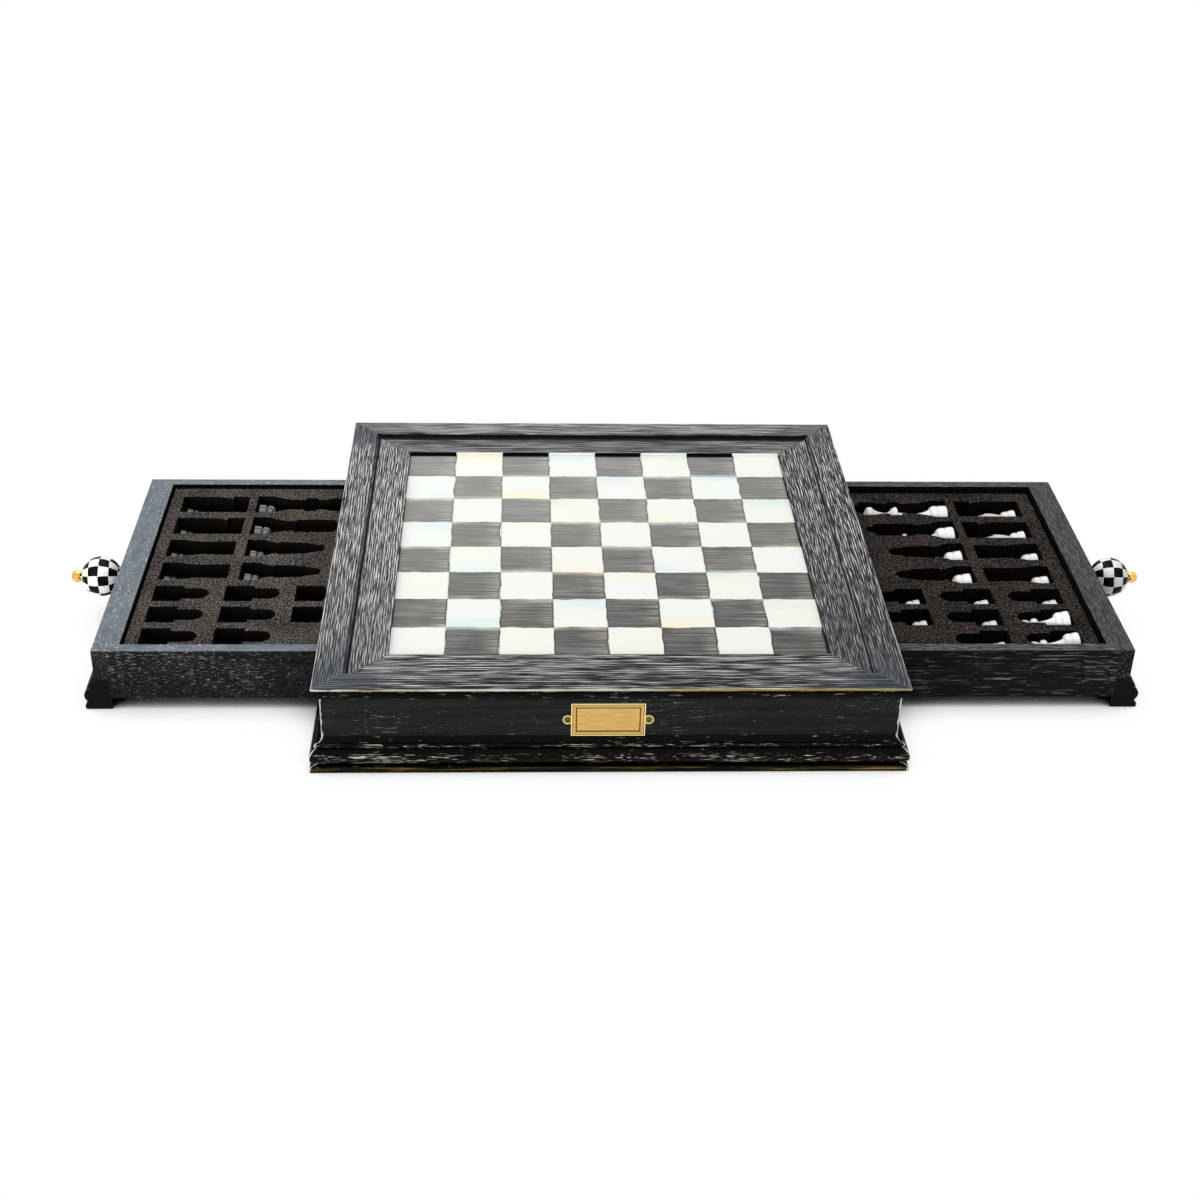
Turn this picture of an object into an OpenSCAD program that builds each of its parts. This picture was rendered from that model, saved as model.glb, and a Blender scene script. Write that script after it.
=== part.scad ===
// Square chess box: an enamel playing board framed in limed oak, with a drawer of
// chess men on the left and on the right, both standing open.
// Millimetres, +Z up.  The origin is the middle of the case's underside, X runs from
// the left drawer to the right drawer, and -Y is the front with the name plate.

/* [Playing board] */
// Side of one playing square, joint included
square_pitch = 43.7; // [42:0.1:46]
// Joint between two neighbouring squares
square_joint = 0.3; // [0.2:0.05:0.6]
// Thickness of the enamel of one square
square_t = 0.8; // [0.5:0.1:1.2]
// Thickness of the plate that carries the squares
plate_t = 2.8; // [2:0.1:3.4]
// Gap between the plate and the rails around it
plate_gap = 0.2; // [0.1:0.05:0.5]

/* [Top frame] */
// Width of the inner rails around the board
inner_rail_w = 29.2; // [24:0.1:34]
// Thickness of the inner rails
inner_rail_t = 6.1; // [5:0.1:7]
// Flat width of the crown rails' top
rim_w = 22.5; // [18:0.1:26]
// Radius of the cove between the crown's top and the inner rails
lip_r = 3.7; // [2.5:0.1:4.5]
// Thickness of the crown rails
crown_t = 10.1; // [10:0.1:13]
// How far the crown stands out past the walls
crown_out = 5.7; // [4.5:0.1:8]
// Radius of the crown's bead
crown_bead_r = 3.4; // [2.8:0.1:3.6]
// Height of the square edge above the bead
crown_edge_h = 2.6; // [1.5:0.1:2.9]
// Rounding of the crown's top edge
crown_round = 0.7; // [0.3:0.1:1]

/* [Case] */
// Thickness of the walls
wall_t = 12; // [10:0.5:16]
// Height of the strip of side wall over a drawer
header_h = 8.4; // [7:0.1:12]
// Thickness of the deck that carries the board
deck_t = 4.5; // [3:0.1:6]
// Thickness of the case's floor
floor_t = 9.9; // [7:0.1:10.2]
// Thickness of the divider between the two drawers
divider_t = 8; // [6:0.5:12]
// Thickness of the walls beside the drawers
bay_wall_t = 8; // [6:0.5:14]

/* [Base moulding] */
// Height of the plinth
plinth_h = 4.6; // [4:0.1:5.4]
// How far the plinth stands out past the walls
plinth_out = 9.9; // [7:0.1:12]
// Rounding of the plinth's top edge
plinth_round = 1.8; // [0.8:0.1:2]
// Radius of the big round above the plinth
torus_r = 7; // [6.6:0.1:7.2]
// How far the big round stands out past the walls
torus_out = 9.9; // [7:0.1:12]
// Height of the big round's middle above the plinth
torus_rise = 8; // [7.8:0.1:8.2]
// How far the grooves of the moulding stand out past the walls
groove_out = 3.4; // [2:0.1:3.8]
// Radius of the small nosing
nosing_r = 1.9; // [1.6:0.1:2]
// How far the nosing stands out past the walls
nosing_out = 5.8; // [4.6:0.1:7]
// Height of the nosing's middle above the middle of the big round
nosing_rise = 9.1; // [9.1:0.1:9.6]
// Radius of the cove above the nosing
cove_r = 6.6; // [6:0.1:7.2]

/* [Drawers] */
// Width of a drawer
drawer_w = 293.7; // [290:0.1:300]
// Thickness of a drawer's front board
front_t = 21; // [18:0.5:24]
// Thickness of the front board's ends, outside the sides
front_lip_t = 11.6; // [9:0.1:13]
// Thickness of the front board's lower edge between its feet
front_toe_t = 8; // [6:0.5:10]
// Width of each foot of a front board
foot_w = 26; // [18:1:40]
// Rounding of the lower edge of each foot's inner face
heel_r = 5; // [2:0.5:8]
// Clearance under the feet
foot_gap = 0.3; // [0.2:0.05:0.6]
// Thickness of a drawer's sides
side_t = 10; // [8:0.5:11]
// Thickness of a drawer's back
back_t = 8; // [7:0.5:9]
// Height of a drawer's bottom above its sides' lower edge
bottom_inset = 2.6; // [2:0.1:4]
// Thickness of a drawer's bottom
bottom_t = 4; // [3:0.1:5]
// Depth of the grooves that hold the bottom
groove_d = 4; // [3:0.5:5]
// Clearance between a drawer and the case, on each side and above
bay_gap = 0.5; // [0.3:0.05:0.9]
// Clearance between a drawer's sides and the case's floor
run_gap = 0.5; // [0.3:0.05:0.9]
// Clearance between a closed drawer and the divider or the floor's edge
stop_gap = 1; // [0.5:0.1:1.5]
// Length of the left drawer that is still inside the case
left_hold = 30.7; // [13:0.1:218]
// Length of the right drawer that is still inside the case
right_hold = 13; // [13:0.1:218]

/* [Foam] */
// Depth of the left foam's surface below the drawer's rim
left_foam_drop = 3.5; // [2:0.1:7]
// Depth of the right foam's surface below the drawer's rim
right_foam_drop = 6.1; // [2:0.1:8]
// Thickness of the sheet under the trays
foam_base_t = 5.1; // [4:0.1:8]
// Gap between the foam and the drawer's walls
foam_gap = 2.2; // [1.9:0.1:2.6]
// Foam behind the first row of big pockets
far_margin = 14.2; // [10:0.1:16]
// Foam in front of the last row of pawn pockets
near_margin = 2.8; // [2:0.1:6]
// Share of the free length that lies before the left drawer's pockets
left_lead = 0.31; // [0.3:0.01:0.5]
// Share of the free length that lies before the right drawer's pockets
right_lead = 0.39; // [0.3:0.01:0.5]
// Share of the free length between the two columns of big pockets
officer_share = 0.22; // [0.15:0.01:0.3]
// Share of the free length between two columns of pawn pockets
pawn_share = 0.28; // [0.2:0.01:0.32]

/* [Chess men] */
// Radius of the king's and queen's foot
royal_r = 14.2; // [12:0.1:14.6]
// Radius of the bishops' foot
bishop_r = 13.1; // [12.6:0.1:13.8]
// Radius of the rooks' and knights' foot
rook_r = 12; // [11.4:0.1:12.4]
// Radius of the rooks' battlements
rook_rim = 8.8; // [8:0.1:9.6]
// Radius of the pawns' foot
pawn_r = 11; // [10:0.1:11.6]
// How far the white king's and queen's feet stand out of the foam
men_proud = 0.9; // [0:0.1:2]
// Height of the kings
king_h = 89; // [84:0.5:90]
// Height of the queens
queen_h = 80.5; // [76:0.5:81]
// Height of the bishops
bishop_h = 66; // [61:0.5:67]
// Height of the knights
knight_h = 57.5; // [53:0.5:58]
// Height of the rooks
rook_h = 55.5; // [51:0.5:56]
// Height of the pawns
pawn_h = 43.5; // [40:0.5:44]
// Gap between a man's foot and the sides of its pocket
pocket_gap = 1.5; // [1:0.1:1.7]
// Gap between a man's foot and the end of its pocket
man_gap = 0.6; // [0.5:0.1:1.1]
// Gap between a man's head and the far end of its pocket, at least
head_gap = 2.4; // [2.3:0.1:3]
// Gap between a man and the floor of its pocket
rest_gap = 0.1; // [0.05:0.05:0.3]
// How far the white king's head is tipped up, in degrees
king_tip = 2.5; // [0:0.5:5]
// How far the two loose white pawns stand above the pocket floor
pawn_lift = 9.5; // [0:0.1:12]
// How far the loose pawns' heads are tipped down, in degrees
pawn_tip = 6; // [0:0.5:8]

/* [Knobs] */
// Radius of a knob's ball
ball_r = 17.4; // [14:0.1:18]
// Height of the knobs above the top of the moulding's cove
knob_rise = 9.7; // [8.4:0.1:12]
// Length of the collar between the ball and the drawer's front
collar_l = 3.2; // [2:0.1:5]
// Radius of the collar
collar_r = 7; // [5:0.1:8]
// Radius of the brass bead at the end of the ball
bead_r = 5.4; // [4.5:0.1:6.5]
// Radius of the round face where the bead sits on the ball
bead_seat_r = 4; // [3:0.1:4.4]
// Radius of the knob's screw
screw_r = 2; // [1.5:0.1:2.5]
// Clearance round the screw
screw_gap = 0.3; // [0.2:0.05:0.5]
// Radius of the screw's head
screw_head_r = 4; // [3.5:0.1:4.5]
// Thickness of the screw's head
screw_head_t = 1.5; // [1:0.1:1.8]
// How deep the screw goes into the ball
screw_grip = 14; // [8:0.5:18]

/* [Name plate] */
// Width of the name plate
tag_w = 57.5; // [50:0.5:64]
// Height of the name plate
tag_h = 30; // [26:0.1:32]
// Thickness of the name plate
tag_t = 1.2; // [0.8:0.1:2]
// Distance of the plate's middle from the middle of the front
tag_x = -2.8; // [-20:0.1:20]
// Radius of the plate's round ears
ear_r = 4; // [3.5:0.1:5]
// How far the ears' middles stand out past the plate
ear_out = 2.6; // [2:0.1:3.4]
// Gap between the cove and the plate's lower edge
tag_gap = 0.1; // [0.1:0.1:3]
// Width of the plate's raised border
border_w = 3.4; // [2:0.1:5]
// Depth of the plate's field below its border
field_d = 0.4; // [0.2:0.05:0.6]
// Radius of the plate's screw heads
tack_r = 2.1; // [1.8:0.1:2.6]
// Radius of the plate's screw shanks
tack_shank_r = 1; // [0.8:0.1:1.3]
// Length of the plate's screw shanks
tack_l = 8; // [5:0.5:10]

/* [Hidden] */
$fn = 64;

// Colours
OAK = [0.13, 0.135, 0.145];
OAK_TOP = [0.22, 0.23, 0.24];
IVORY = [0.93, 0.91, 0.84];
SLATE = [0.25, 0.25, 0.26];
FOAM = [0.2, 0.18, 0.17];
JET = [0.05, 0.05, 0.06];
WHITE = [0.93, 0.93, 0.91];
BRASS = [0.83, 0.62, 0.27];
STEEL = [0.6, 0.6, 0.62];
PLY = [0.45, 0.36, 0.26];

// Sides of the box, as quarter turns of a run along the back
BACK = 0;
LEFT = 1;
FRONT = 2;
RIGHT = 3;

// Plan of the case
board_half = 4 * square_pitch;
crown_inner = board_half + inner_rail_w;
case_half = crown_inner + lip_r + rim_w;
wall_face = case_half - crown_out;
wall_inner = wall_face - wall_t;
bay_half = drawer_w / 2 + bay_gap;

// Heights, from the ground upwards
torus_z = plinth_h + torus_rise;
nosing_z = torus_z + nosing_rise;
cove_z = nosing_z + cove_r;
knob_z = cove_z + knob_rise;
drawer_under = floor_t + run_gap;
bottom_z = drawer_under + bottom_inset;
well_z = bottom_z + bottom_t;
pocket_floor = well_z + foam_base_t;
pocket_depth = 2 * royal_r - men_proud;
drawer_top = pocket_floor + pocket_depth + right_foam_drop;
bay_top = drawer_top + bay_gap;
wall_h = bay_top + header_h;
deck_z = wall_h - deck_t;

// Plan of a drawer, from its outer face inwards
drawer_l = wall_face - divider_t / 2 - stop_gap;
back_x = drawer_l - back_t;
toe_half = drawer_w / 2 - foot_w;
well_half = drawer_w / 2 - side_t;
left_open = drawer_l - left_hold;
right_open = drawer_l - right_hold;

// Plan of the foam
foam_x = front_t + foam_gap;
foam_l = back_x - foam_gap - foam_x;
foam_half = well_half - foam_gap;
cut = 1;

// ------------------------------------------------------------------ helpers

// A section drawn as (outwards, up), run along the back wall and turned to one side
module run(side, length, face) {
    rotate([0, 0, 90 * side])
        translate([0, face, 0])
            rotate([90, 0, 90])
                linear_extrude(length, center = true)
                    children();
}

// Everything of one side that lies between the mitres of its two corners
module mitred(side) {
    reach = case_half + plinth_out;
    intersection() {
        children();
        rotate([0, 0, 90 * side])
            linear_extrude(2 * (wall_h + crown_t), center = true)
                polygon([[0, 0], [reach, reach], [-reach, reach]]);
    }
}

// Points of an arc from p to q that bulges to the right of its way by b
function arc(p, q, b, n = 5) =
    b == 0 ? [q] :
    let (d = norm(q - p),
         r = (d * d / 4 + b * b) / (2 * b),
         m = (p + q) / 2,
         s = [q[1] - p[1], p[0] - q[0]] / d,
         c = m + s * (b - r),
         a0 = atan2(p[1] - c[1], p[0] - c[0]),
         a1 = atan2(q[1] - c[1], q[0] - c[0]),
         turn = b > 0 ? (a1 - a0 + 720) % 360 : (a1 - a0 - 720) % 360)
    [for (i = [1:n]) c + abs(r) * [cos(a0 + turn * i / n), sin(a0 + turn * i / n)]];

// A chain of points [x, y, bulge of the stretch that leads here]
function chain(stops) = concat(
    [[stops[0][0], stops[0][1]]],
    [for (i = [1:len(stops) - 1])
        each arc([stops[i - 1][0], stops[i - 1][1]], [stops[i][0], stops[i][1]],
                 stops[i][2])]);

// ---------------------------------------------------------------- mouldings

module base_moulding_2d() {
    square([plinth_out - plinth_round, plinth_h]);
    square([plinth_out, plinth_h - plinth_round]);
    translate([plinth_out - plinth_round, plinth_h - plinth_round])
        circle(plinth_round);
    square([groove_out, nosing_z]);
    translate([torus_out - torus_r, torus_z])
        circle(torus_r);
    translate([nosing_out - nosing_r, nosing_z])
        circle(nosing_r);
    difference() {
        translate([0, nosing_z])
            square([nosing_out - nosing_r, cove_z - nosing_z]);
        translate([cove_r, cove_z])
            circle(cove_r);
    }
}

module wall_2d() {
    translate([-wall_t, 0])
        square([wall_t, wall_h]);
    base_moulding_2d();
}

module crown_2d() {
    inner = crown_inner - wall_face;
    top = crown_t - crown_round;
    difference() {
        union() {
            translate([inner, 0])
                square([crown_out - crown_bead_r - inner, crown_t]);
            translate([0, crown_t - crown_edge_h])
                square([crown_out, crown_edge_h - crown_round]);
            translate([0, crown_t - crown_edge_h])
                square([crown_out - crown_round, crown_edge_h]);
            translate([crown_out - crown_round, top])
                circle(crown_round);
            translate([crown_out - crown_bead_r, crown_bead_r])
                circle(crown_bead_r);
        }
        translate([inner, crown_t])
            circle(lip_r);
    }
}

// --------------------------------------------------------------------- case

module crown_rail(side) {
    color(OAK_TOP)
        translate([0, 0, wall_h])
            mitred(side) run(side, 2 * case_half, wall_face) crown_2d();
}

module inner_rail(side) {
    color(OAK_TOP)
        translate([0, 0, wall_h])
            mitred(side) run(side, 2 * crown_inner, board_half)
                square([inner_rail_w, inner_rail_t]);
}

module board_plate() {
    half = board_half - plate_gap;
    color(STEEL)
        translate([-half, -half, wall_h])
            cube([2 * half, 2 * half, plate_t]);
}

// The 32 squares of one colour; the near left corner square is light
module squares(parity) {
    side = square_pitch - square_joint;
    for (i = [0:7], j = [0:7])
        if ((i + j) % 2 == parity)
            translate([(i - 4) * square_pitch + square_joint / 2,
                       (j - 4) * square_pitch + square_joint / 2,
                       wall_h + plate_t])
                cube([side, side, square_t]);
}

module light_squares() {
    color(IVORY) squares(0);
}

module dark_squares() {
    color(SLATE) squares(1);
}

module deck() {
    color(PLY)
        translate([-wall_inner, -wall_inner, deck_z])
            cube([2 * wall_inner, 2 * wall_inner, deck_t]);
}

module case_wall(side) {
    color(OAK)
        mitred(side) run(side, 2 * (wall_face + plinth_out), wall_face) wall_2d();
}

// The front wall has pilot holes for the name plate's screws
module case_front() {
    difference() {
        case_wall(FRONT);
        on_front() at_ears()
            translate([0, 0, -tack_l - screw_gap])
                cylinder(tack_l + cut, r = tack_shank_r + screw_gap);
    }
}

// The stretch of a side wall between the drawer's bay and a corner
module stile(side, end) {
    length = wall_face + plinth_out - bay_half;
    color(OAK)
        intersection() {
            mitred(side) run(side, 2 * (wall_face + plinth_out), wall_face) wall_2d();
            translate([-case_half - plinth_out, end > 0 ? bay_half : -bay_half - length, 0])
                cube([2 * (case_half + plinth_out), length, wall_h]);
        }
}

// The strip of side wall over a drawer
module header(side) {
    color(OAK)
        run(side, 2 * bay_half, wall_face)
            translate([-wall_t, bay_top])
                square([wall_t, wall_h - bay_top]);
}

// The floor reaches under the drawers' fronts and is notched for their feet
module case_floor() {
    lip_half = wall_face - front_toe_t - stop_gap;
    notch_x = wall_face - front_t - stop_gap;
    notch_y = toe_half - stop_gap;
    color(PLY)
        linear_extrude(floor_t)
            difference() {
                union() {
                    square(2 * wall_inner, center = true);
                    square([2 * lip_half, 2 * notch_y], center = true);
                }
                for (sx = [-1, 1], sy = [-1, 1])
                    translate([sx * (notch_x + case_half) / 2, sy * (notch_y + bay_half) / 2])
                        square([case_half - notch_x, bay_half - notch_y], center = true);
            }
}

module divider() {
    color(PLY)
        translate([-divider_t / 2, -bay_half, floor_t])
            cube([divider_t, 2 * bay_half, deck_z - floor_t]);
}

module bay_wall(side) {
    color(PLY)
        run(side, 2 * wall_inner, bay_half)
            translate([0, floor_t])
                square([bay_wall_t, deck_z - floor_t]);
}

// --------------------------------------------------------------- name plate

// Moves a shape drawn as (across, up, out of the front) onto the front panel
module on_front() {
    translate([tag_x, -wall_face, cove_z + tag_gap + tag_h / 2])
        rotate([90, 0, 0])
            children();
}

module at_ears() {
    for (s = [-1, 1])
        translate([s * (tag_w / 2 + ear_out), 0, 0])
            children();
}

module name_plate() {
    color(BRASS)
        on_front()
            difference() {
                union() {
                    translate([-tag_w / 2, -tag_h / 2, 0])
                        cube([tag_w, tag_h, tag_t]);
                    at_ears() cylinder(tag_t, r = ear_r);
                }
                translate([border_w - tag_w / 2, border_w - tag_h / 2, tag_t - field_d])
                    cube([tag_w - 2 * border_w, tag_h - 2 * border_w, field_d + cut]);
                at_ears()
                    translate([0, 0, -cut])
                        cylinder(tag_t + 2 * cut, r = tack_shank_r + screw_gap);
            }
}

module name_plate_screws() {
    color(BRASS)
        on_front() at_ears() {
            translate([0, 0, -tack_l])
                cylinder(tack_l + tag_t, r = tack_shank_r);
            translate([0, 0, tag_t])
                intersection() {
                    cylinder(tack_r, r = tack_r);
                    translate([0, 0, -tack_r])
                        sphere(tack_r * sqrt(2));
                }
        }
}

// ------------------------------------------------------------------ drawers

// Moves a shape drawn from a drawer's outer face inwards to its open place
module at_drawer(side) {
    if (side == LEFT)
        translate([-wall_face - left_open, 0, 0]) children();
    else
        translate([wall_face + right_open, 0, 0]) mirror([1, 0, 0]) children();
}

function foam_top(side) = drawer_top - (side == LEFT ? left_foam_drop : right_foam_drop);

// The front board carries the same moulding as the case and its own feet
module front_2d() {
    heel = [heel_r - front_t, heel_r + foot_gap];
    intersection() {
        union() {
            translate(heel)
                circle(heel_r);
            translate([-front_t, heel[1]])
                square([front_t, drawer_top - heel[1]]);
            translate([heel[0], 0])
                square([-heel[0], drawer_top]);
            base_moulding_2d();
        }
        translate([-front_t, foot_gap])
            square([front_t + plinth_out, drawer_top - foot_gap]);
    }
}

module bottom_panel() {
    translate([front_t - groove_d, -well_half - groove_d, bottom_z])
        cube([back_x - front_t + 2 * groove_d, 2 * (well_half + groove_d), bottom_t]);
}

module drawer_front(side) {
    color(OAK_TOP)
        at_drawer(side)
            difference() {
                translate([0, drawer_w / 2, 0])
                    rotate([90, 0, 0])
                        linear_extrude(drawer_w)
                            mirror([1, 0])
                                front_2d();
                for (s = [-1, 1])
                    translate([front_lip_t, s * (well_half + side_t) - side_t, -cut])
                        cube([front_t, 2 * side_t, drawer_top + 2 * cut]);
                translate([front_toe_t, -toe_half, -cut])
                    cube([front_t, 2 * toe_half, drawer_under + cut]);
                bottom_panel();
                translate([-cut, 0, knob_z])
                    rotate([0, 90, 0])
                        cylinder(front_t + 2 * cut, r = screw_r + screw_gap);
            }
}

module drawer_side(side, end) {
    color(OAK_TOP)
        at_drawer(side)
            difference() {
                translate([front_lip_t, end > 0 ? well_half : -drawer_w / 2, drawer_under])
                    cube([drawer_l - front_lip_t, side_t, drawer_top - drawer_under]);
                bottom_panel();
            }
}

module drawer_back(side) {
    color(OAK_TOP)
        at_drawer(side)
            difference() {
                translate([back_x, -well_half, drawer_under])
                    cube([back_t, 2 * well_half, drawer_top - drawer_under]);
                bottom_panel();
            }
}

module drawer_bottom(side) {
    color(PLY) at_drawer(side) bottom_panel();
}

// --------------------------------------------------------------------- foam

// Half an outline as stops [along, half width, bulge]: a square end of length l for a
// foot of radius r, then a shank drawn for a length of 100 and stretched to a man of
// height h.  Knights and rooks lie in pockets as wide as the bishops'.
function pocket(r, l, h, shank) = chain(concat(
    [[0, r + pocket_gap], [l, r + pocket_gap, 0]],
    [for (s = shank) [s[0] / 100 * pocket_l(h), s[1], s[2]]]));

KING_POCKET = pocket(royal_r, 14, king_h, [[35, 9.4, 0.8], [48, 9.4, 0], [48, 12.4, 0],
    [59, 12.4, 0], [62, 8.9, 0], [68, 9.4, 0], [76, 12, 0], [87, 12, 0],
    [91, 7, -0.8], [100, 7, 0]]);
QUEEN_POCKET = pocket(royal_r, 14, queen_h, [[38, 8.8, 0.8], [47, 8.8, 0], [47, 11.3, 0],
    [88.5, 11, 0], [91, 5.8, 0], [100, 0, -1.8]]);
BISHOP_POCKET = pocket(bishop_r, 15, bishop_h, [[38, 9, 0.3], [42, 9, 0], [42, 11, 0],
    [62, 10, 0], [79, 9, 0], [81, 7.8, 0], [92, 5.6, 0], [100, 0, -1.9]]);
ROOK_POCKET = pocket(bishop_r, 13, rook_h, [[58, 10.8, 0.7], [100, 11.8, -0.3]]);
PAWN_POCKET = pocket(pawn_r, 24, pawn_h, [[52.5, 8.3, 0], [81, 8.3, 0], [100, 0, -2.43]]);
KNIGHT_POCKET = pocket(bishop_r, 13, knight_h, [[33, 13.8, 0.2], [56, 13.6, -0.6],
    [74.5, 10, -0.6], [74.5, bishop_r + pocket_gap, 0],
    [100, bishop_r + pocket_gap, 0]]);

module even_pocket(points) {
    other = [for (i = [len(points) - 1:-1:0]) [points[i][0], -points[i][1]]];
    polygon(concat(points, other));
}

// The knights' pocket follows the mane on one side and is straight on the other
module knight_pocket() {
    last = KNIGHT_POCKET[len(KNIGHT_POCKET) - 1];
    polygon(concat(KNIGHT_POCKET, [[last[0], -last[1]], [0, -last[1]]]));
}

// Officers lie in two columns and four rows, pawns in three columns and three rows, with
// the same web of foam between all rows
function pocket_l(h) = h + man_gap + head_gap;
officer_w = 2 * (royal_r + pocket_gap);
pawn_w = 2 * (pawn_r + pocket_gap);
row_web = (2 * foam_half - far_margin - near_margin - 4 * officer_w - 3 * pawn_w) / 6;
officer_free = foam_l - pocket_l(knight_h) - pocket_l(king_h);
pawn_free = foam_l - 3 * pocket_l(pawn_h);
first_officer_y = foam_half - far_margin - officer_w / 2;
last_pawn_y = near_margin + pawn_w / 2 - foam_half;

function first_x(side) =
    foam_x + (side == LEFT ? left_lead : right_lead) * officer_free;
function officer_at(side, column, row) = [
    first_x(side) + column * (pocket_l(knight_h) + officer_share * officer_free),
    first_officer_y - row * (officer_w + row_web)];
function pawn_at(side, column, row) = [
    first_x(side) + column * (pocket_l(pawn_h) + pawn_share * pawn_free),
    last_pawn_y + (2 - row) * (pawn_w + row_web)];
PAWNS = [[0, 0], [1, 0], [2, 0], [0, 1], [1, 1], [2, 1], [0, 2], [1, 2]];

module pockets_2d(side) {
    for (row = [0, 1])
        translate(officer_at(side, 0, row)) knight_pocket();
    for (row = [2, 3]) {
        translate(officer_at(side, 0, row)) even_pocket(ROOK_POCKET);
        translate(officer_at(side, 1, row)) even_pocket(BISHOP_POCKET);
    }
    translate(officer_at(side, 1, 0)) even_pocket(KING_POCKET);
    translate(officer_at(side, 1, 1)) even_pocket(QUEEN_POCKET);
    for (p = PAWNS)
        translate(pawn_at(side, p[0], p[1])) even_pocket(PAWN_POCKET);
}

module foam_2d() {
    translate([foam_x, -foam_half])
        square([foam_l, 2 * foam_half]);
}

module foam_base(side) {
    color(FOAM)
        at_drawer(side)
            translate([0, 0, well_z])
                linear_extrude(foam_base_t)
                    foam_2d();
}

module foam_tray(side) {
    color(FOAM)
        at_drawer(side)
            translate([0, 0, pocket_floor])
                linear_extrude(foam_top(side) - pocket_floor)
                    difference() {
                        foam_2d();
                        pockets_2d(side);
                    }
}

// -------------------------------------------------------------------- knobs

ball_x = collar_l + ball_r;
ball_flat = sqrt(ball_r * ball_r - bead_seat_r * bead_seat_r);
bead_x = ball_flat + sqrt(bead_r * bead_r - bead_seat_r * bead_seat_r);

// Puts a shape drawn round the ball's middle, +X towards the drawer, on the front
module at_knob(side) {
    at_drawer(side)
        translate([-ball_x, 0, knob_z])
            children();
}

module beyond_seat() {
    translate([-ball_flat - 2 * ball_r, -ball_r, -ball_r])
        cube(2 * ball_r);
}

module knob_ball(side) {
    color(WHITE)
        at_knob(side)
            difference() {
                union() {
                    sphere(ball_r);
                    rotate([0, 90, 0])
                        cylinder(ball_x, r = collar_r);
                }
                beyond_seat();
                translate([ball_x - collar_l - screw_grip - screw_gap, 0, 0])
                    rotate([0, 90, 0])
                        cylinder(ball_x, r = screw_r + screw_gap);
            }
}

module knob_bead(side) {
    color(BRASS)
        at_knob(side)
            intersection() {
                translate([-bead_x, 0, 0])
                    sphere(bead_r);
                beyond_seat();
            }
}

module knob_screw(side) {
    color(STEEL)
        at_knob(side)
            translate([ball_x, 0, 0])
                rotate([0, 90, 0]) {
                    translate([0, 0, -collar_l - screw_grip])
                        cylinder(collar_l + screw_grip + front_t, r = screw_r);
                    translate([0, 0, front_t])
                        cylinder(screw_head_t, r = screw_head_r);
                }
}

// ---------------------------------------------------------------- chess men

// A man stands on a turned foot: a drum with a slight taper, a groove, and a dome that
// is nearly as wide.  Heights of the dome are shares of the drum's.
DRUM_TAPER = 0.3;
DOME_IN = 0.6;
DOME_RISE = 1.6;
DOME_TOP = 2.3;
function drum_h(r) = 0.48 * r;

// Foot of radius r as stops [radius, height, bulge]
function foot(r) = let (h = drum_h(r)) [[r - 0.9, 0], [r, 0.9, 0.2],
    [r - DRUM_TAPER, 0.9 * h, 0], [r - 1, h, 0.2], [r - 1.8, 1.05 * h, 0],
    [r - 1.8, 1.13 * h, 0], [r - DOME_IN, 1.27 * h, 0.3], [r - DOME_IN, DOME_RISE * h, 0],
    [r - 4.4, DOME_TOP * h, 1]];

// A turned man of height h: the foot, then a body drawn for a height of 100
module turned(foot_stops, h = 0, body = []) {
    stops = concat(foot_stops, [for (s = body) [s[0], s[1] / 100 * h, s[2]]]);
    rotate_extrude()
        polygon(concat(chain(stops), [[0, stops[len(stops) - 1][1]], [0, 0]]));
}

module king() {
    arm = 4.8;
    bar = 1.7;
    cross_h = 11.6;
    crown_z = king_h - cross_h;
    turned(foot(royal_r), crown_z, [[5.8, 48, -1.8], [6.6, 59.5, -0.2],
        [10.8, 60.2, 0], [10.8, 62.8, 0.4], [8.8, 66.4, 0.2], [5.6, 71, -0.3],
        [5.4, 76, -0.1], [9.2, 89.5, -0.8], [10, 93.5, 0.4], [8.6, 96.5, 0.4],
        [2.4, 99.3, 0.4], [2.4, 100, 0]]);
    translate([bar, 0, crown_z])
        rotate([90, 0, -90])
            linear_extrude(2 * bar)
                polygon([[-bar, 0], [-1, 5], [-arm, 3.9], [-arm, 8.5], [-1, 7.2],
                    [-2.2, cross_h], [2.2, cross_h], [1, 7.2], [arm, 8.5], [arm, 3.9],
                    [1, 5], [bar, 0]]);
}

module queen() {
    points = 8;
    bud_r = 3;
    difference() {
        turned(foot(royal_r), queen_h, [[5.4, 41, -1.9], [6, 52, -0.2],
            [9.6, 53, 0], [9.6, 56.6, 0.6], [7, 57.4, 0], [7.8, 58.6, 0.1],
            [7.8, 61.2, 0.4], [5, 62.5, 0], [4.8, 66, -0.1], [9.8, 88, -1.2],
            [8.4, 88.6, 0], [7.2, 86.8, 0], [2.2, 91.8, 1.2], [2.2, 95, 0]]);
        for (i = [0:points - 1])
            rotate([0, 0, 360 * i / points])
                translate([9.6, 0, 0.893 * queen_h])
                    sphere(2.1);
    }
    translate([0, 0, queen_h - bud_r])
        sphere(bud_r);
}

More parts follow.
